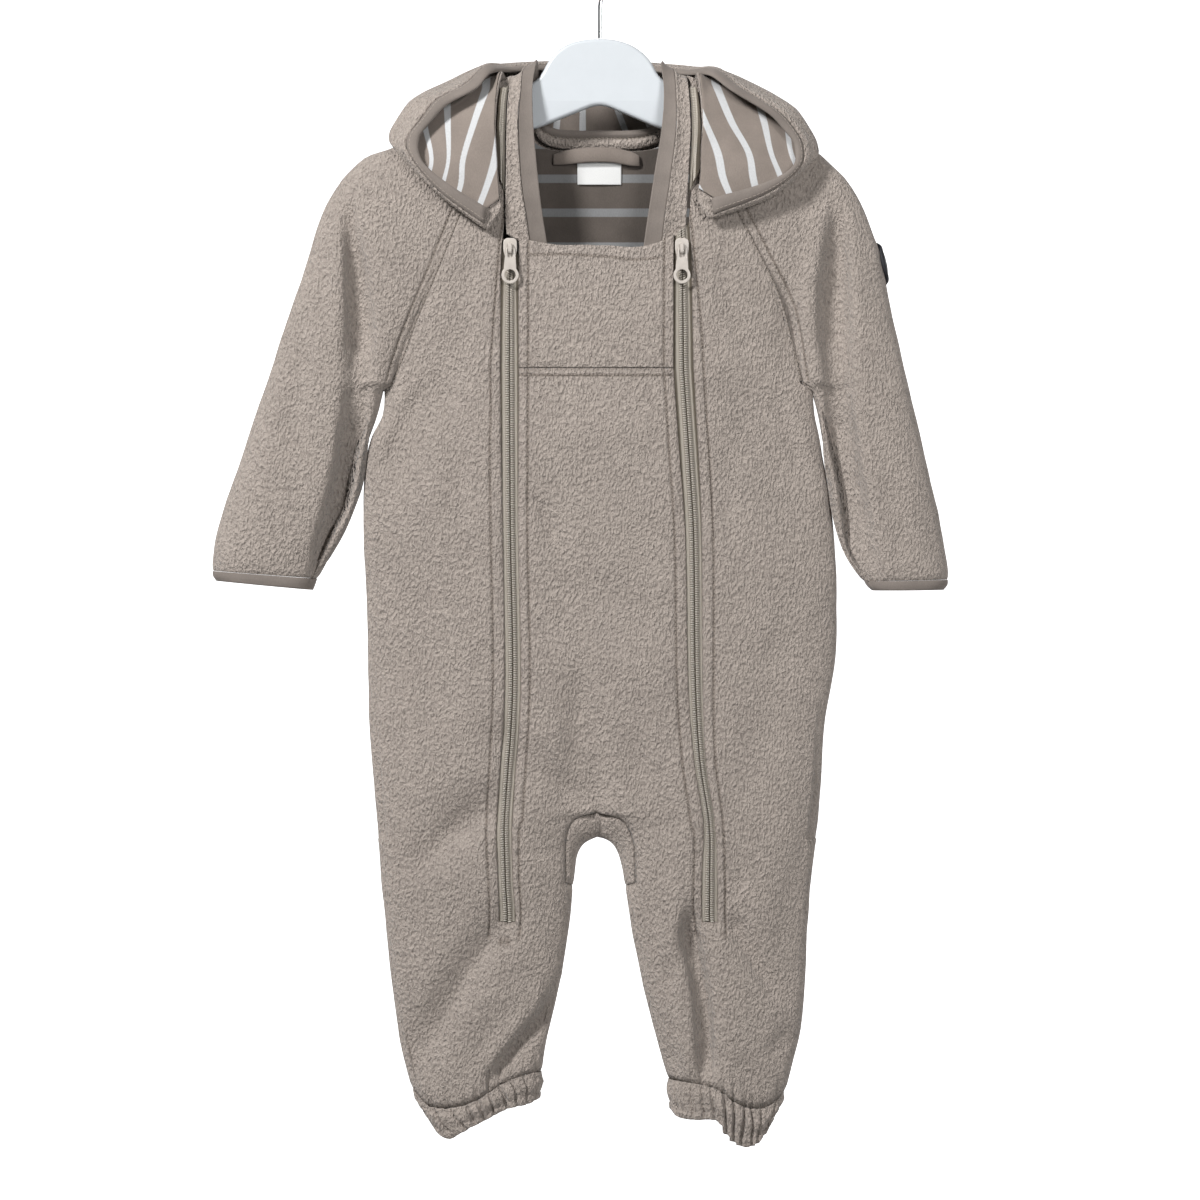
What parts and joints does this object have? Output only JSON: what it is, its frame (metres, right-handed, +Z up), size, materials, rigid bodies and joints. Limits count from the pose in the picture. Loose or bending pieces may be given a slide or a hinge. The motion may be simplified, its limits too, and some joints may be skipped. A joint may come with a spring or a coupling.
{
  "type": "hooded fleece overall on a clothes hanger",
  "caption": "Small child's hooded fleece overall with long front zips, gathered leg ends and bound sleeves, hung on a plain hanger with a wire hook.",
  "frame": {"origin": "inside of the top of the hanger's hook, where it rests on a rod", "axes": "+Z up, -Y out of the garment's front towards the viewer, +X to the viewer's right (the wearer's left)"},
  "size_m": [0.5156, 0.083, 0.8525],
  "materials": {
    "fleece": "brushed nap",
    "striped_jersey": "fine knit with white stripes",
    "binding": "smooth stretch binding",
    "label": "satin ribbon",
    "badge": "plain woven or rubberised patch",
    "zip": "woven tape with nylon coil",
    "zip_metal": "matt lacquer",
    "hanger_plastic": "smooth",
    "hook_chrome": "bright"
  },
  "bodies": {
    "overall": {"back": "fleece", "back_lining": "striped_jersey", "collar": "fleece", "collar_binding": "binding", "front": "fleece", "front_yoke": "fleece", "gusset": "fleece", "hanger": "hanger_plastic", "hanger_loop": "binding", "hood": "fleece", "hood_binding": "binding", "hood_lining_back": "striped_jersey", "hood_lining_left": "striped_jersey", "hood_lining_right": "striped_jersey", "hood_zip_left": "zip", "hood_zip_right": "zip", "hook": "hook_chrome", "leg_cuff_left": "fleece", "leg_cuff_right": "fleece", "neck_label": "label", "sleeve_badge": "badge", "sleeve_binding_left": "binding", "sleeve_binding_right": "binding", "sleeve_left": "fleece", "sleeve_right": "fleece", "slider_left": "zip_metal", "slider_right": "zip_metal", "zip_left": "zip", "zip_right": "zip"},
    "left_pull": {"pull_left": "zip_metal"},
    "right_pull": {"pull_right": "zip_metal"}
  },
  "joints": [
    {"name": "left_pull_hinge", "type": "hinge", "parent": "overall", "child": "left_pull", "pos_m": [-0.06253, -0.02313, -0.22348], "axis": [-1, 0, 0], "range_deg": [0, 150]},
    {"name": "right_pull_hinge", "type": "hinge", "parent": "overall", "child": "right_pull", "pos_m": [0.05696, -0.02305, -0.22346], "axis": [-1, 0, 0], "range_deg": [0, 150]}
  ]
}
